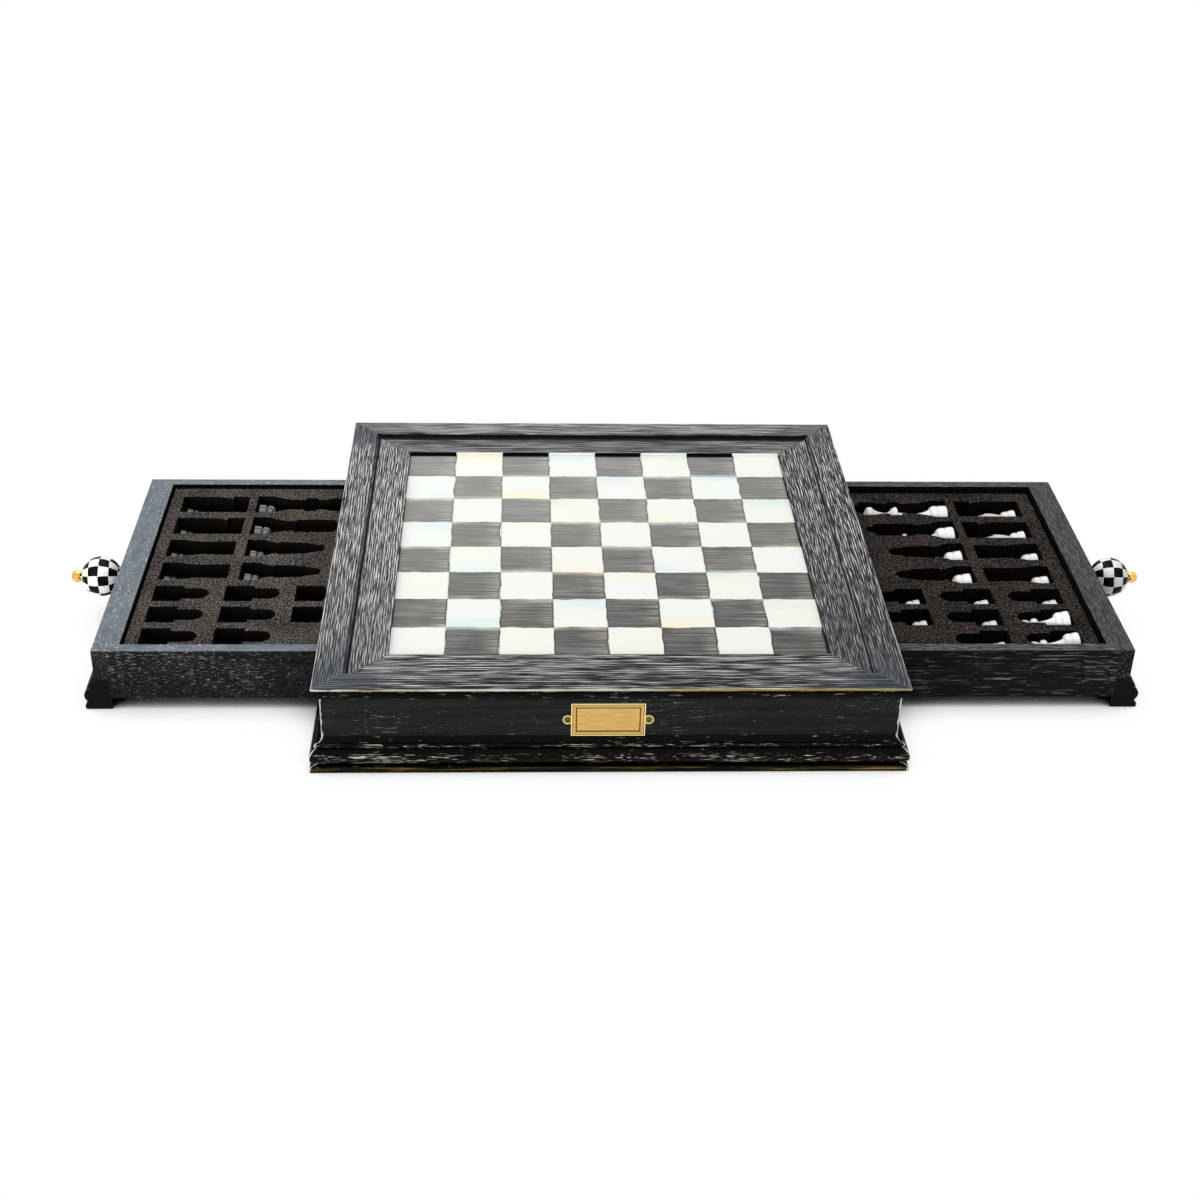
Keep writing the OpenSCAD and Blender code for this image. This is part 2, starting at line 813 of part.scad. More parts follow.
module bishop() {
    bud_r = 2.6;
    slot_w = 1.6;
    difference() {
        turned(foot(bishop_r), bishop_h, [[5, 44.5, -1.7], [5.4, 51.2, -0.1],
            [8.6, 52.1, 0], [8.6, 55.8, 0.6], [5.6, 56.7, 0], [6.4, 58, 0.1],
            [6.4, 60.4, 0.3], [4.4, 61.7, 0], [7.6, 74.5, 1.1], [1.6, 93, 2.3],
            [1.6, 96, 0]]);
        translate([0, 0, 0.8 * bishop_h])
            rotate([0, 35, 90])
                translate([1.4, -bishop_r, -slot_w / 2])
                    cube([bishop_r, 2 * bishop_r, slot_w]);
    }
    translate([0, 0, bishop_h - bud_r])
        sphere(bud_r);
}

module rook() {
    slot_w = 3.2;
    slot_h = 3.4;
    difference() {
        turned(foot(rook_r), rook_h, [[6.2, 56, -1.2], [6.6, 74.5, -0.2],
            [8.5, 76.4, 0], [8.5, 79.3, 0.4], [7.4, 80.7, 0], [rook_rim, 86.2, -0.3],
            [rook_rim, 100, 0], [6.2, 100, 0], [6.2, 91.8, 0]]);
        for (turn = [0, 60, 120])
            rotate([0, 0, turn])
                translate([-rook_rim - cut, -slot_w / 2, rook_h - slot_h])
                    cube([2 * (rook_rim + cut), slot_w, slot_h + cut]);
    }
}

// Horse's head: its side view and its front view cut from one block
module knight() {
    top = knight_h / 100;
    reach = 14;
    profile = chain([[-7.6, 21 * top], [-10.4, 54 * top, -0.6], [-7.8, 79 * top, 0.9],
        [-3.6, 94 * top, 0.8], [-1.4, 100 * top, 0], [0.6, 94.5 * top, 0],
        [5.4, 93 * top, 0.3], [12, 85.5 * top, 0.6], [12.8, 80.5 * top, 0.5],
        [10.6, 77.5 * top, 0.2], [5.4, 78.5 * top, -0.6], [3.6, 73 * top, -0.4],
        [8.2, 58 * top, -1], [9.6, 44 * top, 0.9], [6.8, 21 * top, 0.6]]);
    side = chain([[6, 21 * top], [8.4, 44 * top, 0.8], [5.8, 68 * top, 0.5],
        [5, 87 * top, 0.3], [2.6, 101 * top, 0.2]]);
    other_side = [for (i = [len(side) - 1:-1:0]) [-side[i][0], side[i][1]]];
    turned(foot(rook_r));
    intersection() {
        translate([-reach, 0, 0])
            rotate([90, 0, 90])
                linear_extrude(2 * reach)
                    polygon(profile);
        translate([0, reach, 0])
            rotate([90, 0, 0])
                linear_extrude(2 * reach)
                    polygon(concat(side, other_side));
    }
}

module pawn() {
    head_r = 6.5;
    turned(foot(pawn_r), pawn_h, [[4, 55.5, -0.5], [3.8, 59.5, 0],
        [7, 64, 0.9], [7, 68, 0.2], [4.2, 73, 0.8], [4.2, 78, 0]]);
    translate([0, 0, pawn_h - head_r])
        sphere(head_r);
}

// A lying man is tipped until its foot's dome and its head (radius, height) both rest
function tip_of(r, head) =
    atan((r - DOME_IN - head[0]) / (head[1] - DOME_RISE * drum_h(r)));

module laid(side, place, r, tip, lift = 0) {
    head_down = max(tip, 0);
    on_drum = drum_h(r) * sin(head_down) + (r - DRUM_TAPER) * cos(head_down);
    on_dome = DOME_RISE * drum_h(r) * sin(head_down) + (r - DOME_IN) * cos(head_down);
    axis_z = max(on_drum, on_dome, r * cos(tip));
    at_drawer(side)
        translate([place[0] + man_gap + r * sin(abs(tip)), place[1],
                   pocket_floor + rest_gap + lift + axis_z])
            rotate([0, 90 + tip, 0])
                children();
}

function colour_of(side) = side == LEFT ? JET : WHITE;

module king_of(side) {
    tip = side == RIGHT ? -king_tip : tip_of(royal_r, [10.6, 0.8 * king_h]);
    color(colour_of(side))
        laid(side, officer_at(side, 1, 0), royal_r, tip) king();
}

module queen_of(side) {
    tip = tip_of(royal_r, [9.8, 0.88 * queen_h]);
    color(colour_of(side))
        laid(side, officer_at(side, 1, 1), royal_r, tip) queen();
}

module bishops_of(side) {
    tip = tip_of(bishop_r, [8.4, 0.79 * bishop_h]);
    color(colour_of(side))
        for (row = [2, 3])
            laid(side, officer_at(side, 1, row), bishop_r, tip) bishop();
}

module knights_of(side) {
    tip = tip_of(rook_r, [5.1, 0.87 * knight_h]);
    color(colour_of(side))
        for (row = [0, 1])
            laid(side, officer_at(side, 0, row), rook_r, tip) knight();
}

module rooks_of(side) {
    tip = tip_of(rook_r, [rook_rim, rook_h]);
    color(colour_of(side))
        for (row = [2, 3])
            laid(side, officer_at(side, 0, row), rook_r, tip) rook();
}

// Two white pawns near the front lie high, not pushed home in their pockets
module pawns_of(side) {
    tip = tip_of(pawn_r, [6.7, 0.85 * pawn_h]);
    color(colour_of(side))
        for (p = PAWNS) {
            loose = side == RIGHT && p[0] == 0 && p[1] > 0;
            laid(side, pawn_at(side, p[0], p[1]), pawn_r, loose ? pawn_tip : tip,
                 loose ? pawn_lift : 0)
                pawn();
        }
}

crown_rail(FRONT);  // crown_rail_front
crown_rail(BACK);  // crown_rail_back
crown_rail(LEFT);  // crown_rail_left
crown_rail(RIGHT);  // crown_rail_right
inner_rail(FRONT);  // inner_rail_front
inner_rail(BACK);  // inner_rail_back
inner_rail(LEFT);  // inner_rail_left
inner_rail(RIGHT);  // inner_rail_right
board_plate();
light_squares();
dark_squares();
deck();
case_front();
case_wall(BACK);  // case_back
stile(LEFT, -1);  // left_stile_front
stile(LEFT, 1);  // left_stile_back
stile(RIGHT, -1);  // right_stile_front
stile(RIGHT, 1);  // right_stile_back
header(LEFT);  // left_header
header(RIGHT);  // right_header
case_floor();
divider();
bay_wall(FRONT);  // bay_wall_front
bay_wall(BACK);  // bay_wall_back
name_plate();
name_plate_screws();
drawer_front(LEFT);  // left_drawer_front
drawer_side(LEFT, -1);  // left_drawer_side_front
drawer_side(LEFT, 1);  // left_drawer_side_back
drawer_back(LEFT);  // left_drawer_back
drawer_bottom(LEFT);  // left_drawer_bottom
foam_base(LEFT);  // left_foam_base
foam_tray(LEFT);  // left_foam_tray
knob_ball(LEFT);  // left_knob_ball
knob_bead(LEFT);  // left_knob_bead
knob_screw(LEFT);  // left_knob_screw
drawer_front(RIGHT);  // right_drawer_front
drawer_side(RIGHT, -1);  // right_drawer_side_front
drawer_side(RIGHT, 1);  // right_drawer_side_back
drawer_back(RIGHT);  // right_drawer_back
drawer_bottom(RIGHT);  // right_drawer_bottom
foam_base(RIGHT);  // right_foam_base
foam_tray(RIGHT);  // right_foam_tray
knob_ball(RIGHT);  // right_knob_ball
knob_bead(RIGHT);  // right_knob_bead
knob_screw(RIGHT);  // right_knob_screw
king_of(LEFT);  // black_king
queen_of(LEFT);  // black_queen
bishops_of(LEFT);  // black_bishops
knights_of(LEFT);  // black_knights
rooks_of(LEFT);  // black_rooks
pawns_of(LEFT);  // black_pawns
king_of(RIGHT);  // white_king
queen_of(RIGHT);  // white_queen
bishops_of(RIGHT);  // white_bishops
knights_of(RIGHT);  // white_knights
rooks_of(RIGHT);  // white_rooks
pawns_of(RIGHT);  // white_pawns
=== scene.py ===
"""Looks for the chess box with drawers: a shader for every CAD node, the studio and the camera."""
from math import cos, pi, sin

import bpy
from mathutils import Matrix, Vector

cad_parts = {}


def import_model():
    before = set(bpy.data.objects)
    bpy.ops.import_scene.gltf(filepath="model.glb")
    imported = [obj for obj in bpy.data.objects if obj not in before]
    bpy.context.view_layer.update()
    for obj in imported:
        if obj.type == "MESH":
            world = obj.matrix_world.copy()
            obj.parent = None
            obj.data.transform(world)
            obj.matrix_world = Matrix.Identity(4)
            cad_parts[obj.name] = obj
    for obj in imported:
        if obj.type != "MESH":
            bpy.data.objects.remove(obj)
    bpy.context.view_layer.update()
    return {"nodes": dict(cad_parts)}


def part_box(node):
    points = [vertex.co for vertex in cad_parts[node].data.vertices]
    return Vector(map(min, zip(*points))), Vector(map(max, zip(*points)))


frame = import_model()
nodes = frame["nodes"]
scene = bpy.context.scene

# Sizes of the model that the patterns follow, in metres
PITCH = 0.0437         # one enamel square with its joint
BOARD = 4 * PITCH      # half the playing field
RAIL_IN = 0.2040       # middle of the box to the inner rails' outer edge
LIP = 0.0037           # width of the cove between inner rail and crown
FACE = 0.2245          # middle of the box to the faces of its walls
CROWN = 0.2302         # middle of the box to the crown's edge
CROWN_TOP = 0.0747
TORUS_Z = 0.0126       # middle of the big round
NOSING_Z = 0.0217      # middle of the nosing
COVE_Z = 0.0283        # top of the moulding's cove
DRAWER_SIDE = 0.1468   # middle of a drawer to the face of its side
DRAWER_TOP = 0.0557
FRONT_LIP = 0.0116     # thickness of a drawer front's ends
KNOB_OUT = 0.0206      # drawer face to the middle of its knob
TAG_HALF = 0.02875     # half the name plate's width, without its ears
TAG_RISE = 0.0150      # half the name plate's height
EAR_OUT = 0.0026       # end of the name plate to the middle of its ear

# The drawers: way out along X, and where their outer faces are at rest
SIDES = {"left": -1, "right": 1}
OUTER_X = {"left": -0.4133, "right": 0.4310}


# ------------------------------------------------------------------ shader kit

def srgb(r, g, b):
    """A colour given as 0..255 screen values, as linear RGBA."""
    def linear(v):
        v /= 255
        return v / 12.92 if v <= 0.04045 else ((v + 0.055) / 1.055) ** 2.4
    return (linear(r), linear(g), linear(b), 1.0)


class Shader:
    """One material, built node by node on the object's own coordinates."""

    def __init__(self, name):
        self.material = bpy.data.materials.new(name)
        self.material.use_nodes = True
        self.tree = self.material.node_tree
        self.tree.nodes.clear()
        self.output = self.tree.nodes.new("ShaderNodeOutputMaterial")
        self.bsdf = self.tree.nodes.new("ShaderNodeBsdfPrincipled")
        self.tree.links.new(self.bsdf.outputs[0], self.output.inputs[0])
        self.point = self.node("TexCoord", out="Object")
        self.x, self.y, self.z = self.split(self.point)
        self.up = self.split(self.node("TexCoord", out="Normal"))[2]

    def split(self, vector):
        """The three parts of a vector."""
        n = self.tree.nodes.new("ShaderNodeSeparateXYZ")
        self.feed(n.inputs[0], vector)
        return n.outputs[:3]

    def node(self, kind, *values, out=0, **props):
        """A new node fed in the order of its inputs; gives one of its outputs."""
        n = self.tree.nodes.new("ShaderNode" + kind)
        for key, value in props.items():
            setattr(n, key, value)
        for socket, value in zip(n.inputs, values):
            self.feed(socket, value)
        return n.outputs[out]

    def feed(self, socket, value):
        if value is None:
            return
        if isinstance(value, bpy.types.NodeSocket):
            self.tree.links.new(value, socket)
        else:
            socket.default_value = value

    def math(self, op, a, b=None, c=None, clamp=False):
        return self.node("Math", a, b, c, operation=op, use_clamp=clamp)

    def add(self, a, b):
        return self.math("ADD", a, b)

    def sub(self, a, b):
        return self.math("SUBTRACT", a, b)

    def mul(self, a, b):
        return self.math("MULTIPLY", a, b)

    def abs(self, a):
        return self.math("ABSOLUTE", a)

    def max(self, a, b):
        return self.math("MAXIMUM", a, b)

    def min(self, a, b):
        return self.math("MINIMUM", a, b)

    def ring(self, a, b):
        """Distance from where both a and b are 0."""
        return self.math("SQRT", self.add(self.mul(a, a), self.mul(b, b)))

    def vec(self, x, y, z):
        return self.node("CombineXYZ", x, y, z)

    def grow(self, value, lo, hi):
        """0 below lo, 1 above hi, smooth between; falls where lo is above hi."""
        return self.node("MapRange", value, float(lo), float(hi), 0.0, 1.0,
                         interpolation_type="SMOOTHSTEP")

    def band(self, value, lo, low, high, hi):
        """0 below lo, 1 from low to high, 0 above hi."""
        return self.mul(self.grow(value, lo, low), self.grow(value, hi, high))

    def grow_at(self, value, edge, width):
        """As grow, round an edge that is itself a socket."""
        return self.math("MULTIPLY_ADD", self.sub(value, edge), 1 / width, 0.5, clamp=True)

    def noise(self, vector, scale=1.0, detail=2.0, rough=0.5, out=0):
        return self.node("TexNoise", vector, None, scale, detail, rough, out=out)

    def ramp(self, value, stops):
        n = self.tree.nodes.new("ShaderNodeValToRGB")
        while len(n.color_ramp.elements) < len(stops):
            n.color_ramp.elements.new(0.5)
        for element, (at, colour) in zip(n.color_ramp.elements, stops):
            element.position = at
            element.color = colour
        self.feed(n.inputs[0], value)
        return n.outputs[0]

    def mix(self, fac, a, b):
        """A colour between a and b."""
        n = self.tree.nodes.new("ShaderNodeMix")
        n.data_type = "RGBA"
        self.feed(n.inputs[0], fac)
        self.feed(n.inputs[6], a)
        self.feed(n.inputs[7], b)
        return n.outputs[2]

    def blend(self, fac, a, b):
        """A number between a and b."""
        n = self.tree.nodes.new("ShaderNodeMix")
        self.feed(n.inputs[0], fac)
        self.feed(n.inputs[2], a)
        self.feed(n.inputs[3], b)
        return n.outputs[0]

    def bump(self, height, strength, distance):
        n = self.tree.nodes.new("ShaderNodeBump")
        n.inputs["Strength"].default_value = strength
        n.inputs["Distance"].default_value = distance
        self.feed(n.inputs["Height"], height)
        self.feed(self.bsdf.inputs["Normal"], n.outputs[0])

    def set(self, **values):
        """Feeds the surface's own sockets; gives the finished material."""
        names = {"color": "Base Color", "rough": "Roughness", "metal": "Metallic",
                 "specular": "Specular IOR Level", "coat": "Coat Weight",
                 "coat_rough": "Coat Roughness"}
        for key, value in values.items():
            self.feed(self.bsdf.inputs[names[key]], value)
        return self.material


def give(material, *names):
    """Puts one material on every slot of the named CAD nodes."""
    for name in names:
        mesh = nodes[name].data
        if not mesh.materials:
            mesh.materials.append(material)
        for i in range(len(mesh.materials)):
            mesh.materials[i] = material


# ------------------------------------------------------------------------ wood

def oak(s, along, across, base, lime, cover, seed, length=48.0, patch=0.5):
    """Dark stained oak with lime in its open grain: colour and lime mask.

    across is the number of grain lines in a metre and length that of dashes, cover the
    noise level above which lime shows, and patch how much that level wanders. base and
    lime are each a dark and a light tone.
    """
    a, c = (s.x, s.y) if along == "x" else (s.y, s.x)
    sway = s.noise(s.vec(s.mul(a, 14.0), s.mul(c, 26.0), seed), 1.0, 3.0, 0.55)
    c = s.math("MULTIPLY_ADD", sway, 0.011, c)
    lift = s.math("MULTIPLY_ADD", s.z, across, seed)
    lane = s.vec(s.mul(a, length), s.mul(c, across), lift)
    wide = s.vec(s.mul(a, 0.2 * length), s.mul(c, 0.14 * across), s.mul(lift, 0.14))
    streak = s.noise(lane, 1.0, 2.0, 0.5)
    fine = s.noise(lane, 1.9, 2.0, 0.5)
    tone = s.noise(wide, 1.0, 2.0, 0.6)
    color = s.ramp(s.add(s.mul(tone, 0.5), s.mul(fine, 0.5)), [(0.36, base[0]), (0.64, base[1])])
    level = s.math("MULTIPLY_ADD", s.noise(s.point, 13.0, 2.0), -patch, cover + 0.5 * patch)
    mask = s.grow_at(streak, level, 0.11)
    chalk = s.ramp(fine, [(0.36, lime[0]), (0.62, lime[1])])
    return s.mix(mask, color, chalk), mask


def limed(s, along, lines, level, spread, seed, length, low=1.0, high=1.0):
    """Oak brushed with lime: its colour, and the streaks that the colour comes from.

    Fine light and dark lines wander, fork and break off. lines is their number in a metre
    across the grain and length that of breaks along it, level is the middle tone and
    spread the way to the usual darks and lights, both as 0..255 screen values; low and
    high stretch the dark and the light half of it.
    """
    a, c = (s.x, s.y) if along == "x" else (s.y, s.x)
    sway = s.noise(s.vec(s.mul(a, 15.0), s.mul(c, 28.0), seed), 1.0, 2.0, 0.5)
    c = s.math("MULTIPLY_ADD", sway, 0.0035, c)
    forks = s.noise(s.vec(s.mul(a, 0.5 * length), s.mul(c, 0.30 * lines), seed), 1.0, 1.0, 0.5)
    wave = s.math("SINE", s.math("MULTIPLY_ADD", c, 2 * pi * lines, s.mul(forks, 8.0)))
    lane = s.vec(s.mul(a, length), s.mul(c, 1.9 * lines), s.math("MULTIPLY_ADD", s.z, lines, seed))
    streak = s.noise(lane, 1.0, 2.0, 0.6)
    fade = s.noise(s.vec(s.mul(a, 1.6 * length), s.mul(c, 0.8 * lines), seed + 3), 1.0, 1.0)
    wave = s.mul(wave, s.math("MULTIPLY_ADD", s.grow(fade, 0.40, 0.60), 0.16, 0.02))
    drift = s.noise(s.vec(s.mul(a, 9.0), s.mul(c, 34.0), seed), 1.0, 2.0)
    value = s.add(s.math("MULTIPLY_ADD", s.sub(drift, 0.5), 0.07, wave), streak)
    steps = [(0.30, -1.75 * low), (0.41, -1.0 * low), (0.50, 0.0), (0.59, 1.0 * high),
             (0.72, 2.1 * high)]
    stops = []
    for at, share in steps:
        grey = min(max(level + share * spread, 8), 226)
        cool = 0.03 * max(0.0, 160 - grey)
        stops.append((at, srgb(grey - 0.5 * cool, grey, grey + cool)))
    return s.ramp(value, stops), value


# Middle tone and spread of the limed crown and inner rails; the tone by side is painted light and
# shade, lighter where the light from the back left falls
CROWN_LIT_TONE = {"left": (109, 52), "right": (50, 90), "front": (45, 80), "back": (118, 42)}
INNER_LIT_TONE = {"left": (114, 62), "right": (70, 68), "front": (62, 78), "back": (92, 42)}
# Share of the cove's width that is painted black: painted shade in the hollow, set by side
COVE_SHADE = {"left": 0.60, "right": 0.45, "front": 0.35, "back": 0.98}


def top_rail(name, side, along, inner, seed):
    """Crown and inner rails: limed grey oak, its outer edge rubbed to cream and gold; tone by
    side, darker front and dark cove are painted light and shade.
    """
    s = Shader(name)
    out = s.max(s.abs(s.x), s.abs(s.y))
    mitre = s.abs(s.sub(s.abs(s.x), s.abs(s.y)))
    # each side's tone is painted light and shade
    level, spread = (INNER_LIT_TONE if inner else CROWN_LIT_TONE)[side]
    if along == "x":
        color, streak = limed(s, along, 420.0, level, spread, seed, length=25.0)
    else:
        color, streak = limed(s, along, 480.0, level, spread, seed, length=48.0)
        # darker towards the front: painted shade, the rails lit less there than at the back
        front_shade = 0.38 if side == "left" else 0.62
        color = s.mix(s.mul(s.grow(s.y, 0.02, -0.24), front_shade), color, srgb(42, 44, 48))
    mask = s.grow(streak, 0.44, 0.60)
    if not inner:
        # smoother slate where the stain soaked in at the mitres
        soak = s.math("MULTIPLY_ADD", s.noise(s.point, 30.0, 3.0, 0.6), 0.06, -0.03)
        soak = s.grow(s.add(mitre, soak), 0.056, 0.020)
        slate = s.mix(s.grow(streak, 0.36, 0.64), srgb(44, 48, 54), srgb(92, 97, 104))
        color = s.mix(s.mul(soak, 0.85 if side in ("front", "left") else 0.5), color, slate)
    # mitre joint: a dark hair line with a paler one beside it
    joint = 0.9 if inner else 0.5
    color = s.mix(s.mul(s.grow(mitre, 0.0016, 0.0008), joint * 0.5), color, srgb(140, 142, 144))
    color = s.mix(s.mul(s.grow(mitre, 0.0007, 0.0004), joint), color, srgb(26, 27, 29))
    wander = s.noise(s.point, 34.0, 3.0, 0.65)
    if inner:
        # pale hair line along the step up to the crown
        line = s.mul(s.grow(out, RAIL_IN - 0.0016, RAIL_IN - 0.0010), s.grow(wander, 0.40, 0.56))
        color = s.mix(s.mul(line, 0.5), color, srgb(150, 150, 148))
        if side == "back":
            # painted shadow on the rail below the cove
            color = s.mix(s.mul(s.grow(out, RAIL_IN - 0.0050, RAIL_IN - 0.0024), 0.9), color,
                          srgb(18, 18, 17))
        # black step down to the squares; at the back the enamel's cream runs up it
        step = srgb(8, 8, 7)
        if side == "back":
            column = s.math("FLOOR", s.mul(s.add(s.x, BOARD), 1 / PITCH))
            step = s.mix(s.math("MODULO", column, 2.0), step, srgb(236, 236, 230))
        color = s.mix(s.grow(s.up, 0.7, 0.4), color, step)
    else:
        # cove down to the inner rail painted dark as painted shade in the hollow: the rail's tone
        # darkened towards slate at its upper edge, black below
        lip_x = RAIL_IN + LIP
        cove = s.grow(out, lip_x, lip_x - 0.0003)
        deep_x = RAIL_IN + COVE_SHADE[side] * LIP
        deep = s.grow(out, deep_x, deep_x - 0.0004)
        upper = s.mix(0.45, color, srgb(52, 55, 60))
        color = s.mix(cove, color, s.mix(deep, upper, srgb(2, 2, 2)))
        lip = s.band(out, lip_x - 0.0001, lip_x + 0.0002, lip_x + 0.0007, lip_x + 0.0012)
        color = s.mix(s.mul(lip, s.mul(s.grow(wander, 0.42, 0.6), 0.5)), color,
                      srgb(140, 140, 136))
        # rubbed outer arris, then the black quirk and bead under it
        edge = s.math("MULTIPLY_ADD", wander, -0.0030, CROWN + 0.0009)
        arris = s.mul(s.grow_at(out, edge, 0.0003),
                      s.grow(s.z, CROWN_TOP - 0.0016, CROWN_TOP - 0.0010))
        gold = srgb(214, 212, 204)
        if along == "x":
            gold = s.mix(s.grow(s.noise(s.point, 9.0, 2.0), 0.42, 0.58), srgb(196, 194, 178),
                         srgb(150, 132, 62))
        color = s.mix(s.mul(arris, 0.9), color, gold)
        under = s.mul(s.grow(s.z, CROWN_TOP - 0.0012, CROWN_TOP - 0.0018),
                      s.grow(out, FACE - 0.002, FACE))
        rubbed = s.grow(s.noise(s.vec(s.mul(s.x, 60.0), s.mul(s.y, 60.0), s.mul(s.z, 500.0)),
                                1.0, 3.0, 0.65), 0.60, 0.70)
        color = s.mix(under, color, s.mix(s.mul(rubbed, 0.6), srgb(6, 6, 5), srgb(170, 166, 154)))
    s.bump(mask, 0.25, 0.0004)
    return s.set(color=color, rough=s.blend(mask, 0.55, 0.85), specular=0.08)


def case_side(name, along, seed):
    """Frieze and base moulding of one side, by height."""
    s = Shader(name)
    frieze, dashes = oak(s, along, 1800.0, (srgb(18, 19, 19), srgb(36, 36, 35)),
                         (srgb(84, 84, 82), srgb(180, 180, 174)),
                         cover=0.735, seed=seed, length=26.0, patch=0.18)
    black = (srgb(2, 2, 1), srgb(10, 8, 5))
    chips = (srgb(110, 108, 100), srgb(226, 222, 210))
    moulding, _ = oak(s, along, 1000.0, black, chips,
                      cover=0.76, seed=seed + 7, length=90.0, patch=0.2)
    ridge, flakes = oak(s, along, 1500.0, black, chips,
                        cover=0.665, seed=seed + 9, length=60.0)
    low = s.grow(s.z, COVE_Z + 0.0003, COVE_Z - 0.0003)
    color = s.mix(low, frieze, moulding)
    # worn crowns of the big round and of the nosing
    torus = s.band(s.z, TORUS_Z - 0.0062, TORUS_Z - 0.0048, TORUS_Z + 0.0032, TORUS_Z + 0.0048)
    nose = s.band(s.z, NOSING_Z - 0.0018, NOSING_Z - 0.0010, NOSING_Z + 0.0014, NOSING_Z + 0.0018)
    color = s.mix(s.min(s.add(torus, nose), 1.0), color, ridge)
    # gold-brown line along the plinth
    a = s.x if along == "x" else s.y
    wear = s.noise(s.vec(s.mul(a, 16.0), s.mul(s.z, 300.0), seed), 1.0, 4.0, 0.65)
    plinth = s.band(s.z, 0.0012, 0.0018, 0.0038, 0.0044)
    gilt = s.ramp(wear, [(0.46, srgb(5, 4, 3)), (0.56, srgb(66, 50, 18)),
                         (0.66, srgb(136, 112, 56))])
    color = s.mix(s.mul(plinth, 0.9), color, gilt)
    # worn corners
    corner = s.abs(s.sub(s.abs(s.x), s.abs(s.y)))
    bite = s.math("MULTIPLY_ADD", s.noise(s.point, 140.0, 3.0), 0.0040, -0.0012)
    color = s.mix(s.mul(s.grow_at(bite, corner, 0.0004), 0.85), color, srgb(204, 202, 194))
    s.bump(s.add(dashes, flakes), 0.25, 0.0004)
    return s.set(color=color, rough=s.blend(low, 0.6, 0.4), specular=0.06)


def drawer_wood(name, along, side, seed):
    """A drawer's boards: near black faces with lime flecks, and tops painted paler as painted
    light from above.
    """
    s = Shader(name)
    # the left drawer's top is painted lighter than the right's: painted light from the left
    if side == "left":
        face, _ = oak(s, along, 1700.0, (srgb(6, 8, 10), srgb(28, 30, 32)),
                      (srgb(66, 66, 64), srgb(156, 154, 146)),
                      cover=0.650, seed=seed, length=200.0, patch=0.24)
        face = s.mix(s.mul(s.grow(s.z, 0.034, 0.012), 0.45), face, srgb(14, 14, 14))
        top, lines = oak(s, along, 900.0 if along == "x" else 1100.0,
                         (srgb(92, 100, 109), srgb(124, 131, 139)),
                         (srgb(150, 151, 149), srgb(214, 213, 206)),
                         cover=0.655, seed=seed + 3, length=230.0, patch=0.16)
    else:
        face, _ = oak(s, along, 900.0, (srgb(4, 4, 5), srgb(22, 23, 24)),
                      (srgb(52, 54, 56), srgb(118, 119, 117)),
                      cover=0.625, seed=seed, length=26.0, patch=0.26)
        face = s.mix(s.mul(s.grow(s.z, 0.030, 0.012), 0.5), face, srgb(8, 8, 8))
        count, level = (290.0, 70) if along == "x" else (480.0, 60)
        top, lines = limed(s, along, count, level, spread=14, seed=seed + 3, length=110.0,
                           low=0.8, high=1.7)
    across = s.abs(s.y)
    past = s.mul(s.sub(s.x, OUTER_X[side]), SIDES[side])
    outside = s.max(s.grow(across, DRAWER_SIDE - 0.0008, DRAWER_SIDE - 0.0002),
                    s.grow(past, -0.0010, -0.0004))
    # the boards' tops take the paler top colour: painted light from above, with lime grain in it
    up = s.grow(s.up, 0.55, 0.85)
    high = s.mul(up, s.grow(s.z, DRAWER_TOP - 0.0022, DRAWER_TOP - 0.0009))
    color = s.mix(high, s.mix(outside, srgb(8, 8, 8), face), top)
    # black moulding of the front board, worn on its ridges, and its plain ends
    low = s.grow(s.z, COVE_Z + 0.0003, COVE_Z - 0.0003)
    profile = s.mul(s.grow(past, -0.0002, 0.0002), low)
    ridge, flakes = oak(s, "y", 1500.0, (srgb(2, 2, 1), srgb(10, 8, 5)),
                        (srgb(110, 108, 100), srgb(200, 196, 184)),
                        cover=0.66, seed=seed + 5, length=70.0, patch=0.4)
    ends = s.mul(s.mul(s.grow(across, DRAWER_SIDE - 0.0004, DRAWER_SIDE - 0.0001),
                       s.grow(past, -FRONT_LIP, 0.0004 - FRONT_LIP)), low)
    color = s.mix(profile, color, ridge)
    color = s.mix(ends, color, srgb(10, 10, 10))
    s.bump(s.add(lines, flakes), 0.25, 0.0004)
    return s.set(color=color, rough=s.blend(high, 0.55, 0.5), specular=0.06)


def plain_wood(name, dark, light):
    """Unseen inner boards: stained plywood."""
    s = Shader(name)
    color, mask = oak(s, "x", 300.0, (dark, light), (light, srgb(110, 92, 70)),
                      cover=0.62, seed=2.0)
    s.bump(mask, 0.2, 0.0004)
    return s.set(color=color, rough=0.7, specular=0.3)


for i, side in enumerate(("front", "back", "left", "right")):
    run = "x" if side in ("front", "back") else "y"
    give(top_rail("crown_" + side, side, run, False, 3.0 * i), "crown_rail_" + side)
    give(top_rail("inner_" + side, side, run, True, 40.0 + 3.0 * i), "inner_rail_" + side)
give(case_side("side_x", "x", 1.0), "case_front", "case_back")
give(case_side("side_y", "y", 5.0), "left_stile_front", "left_stile_back",
     "right_stile_front", "right_stile_back", "left_header", "right_header")
for side in SIDES:
    give(drawer_wood(side + "_boards_x", "x", side, 11.0), side + "_drawer_side_front",
         side + "_drawer_side_back")
    give(drawer_wood(side + "_boards_y", "y", side, 17.0), side + "_drawer_front",
         side + "_drawer_back")
ply = plain_wood("ply", srgb(52, 42, 33), srgb(84, 68, 52))
give(ply, "deck", "case_floor", "divider", "bay_wall_front", "bay_wall_back",
     "left_drawer_bottom", "right_drawer_bottom")


# ---------------------------------------------------------------------- enamel

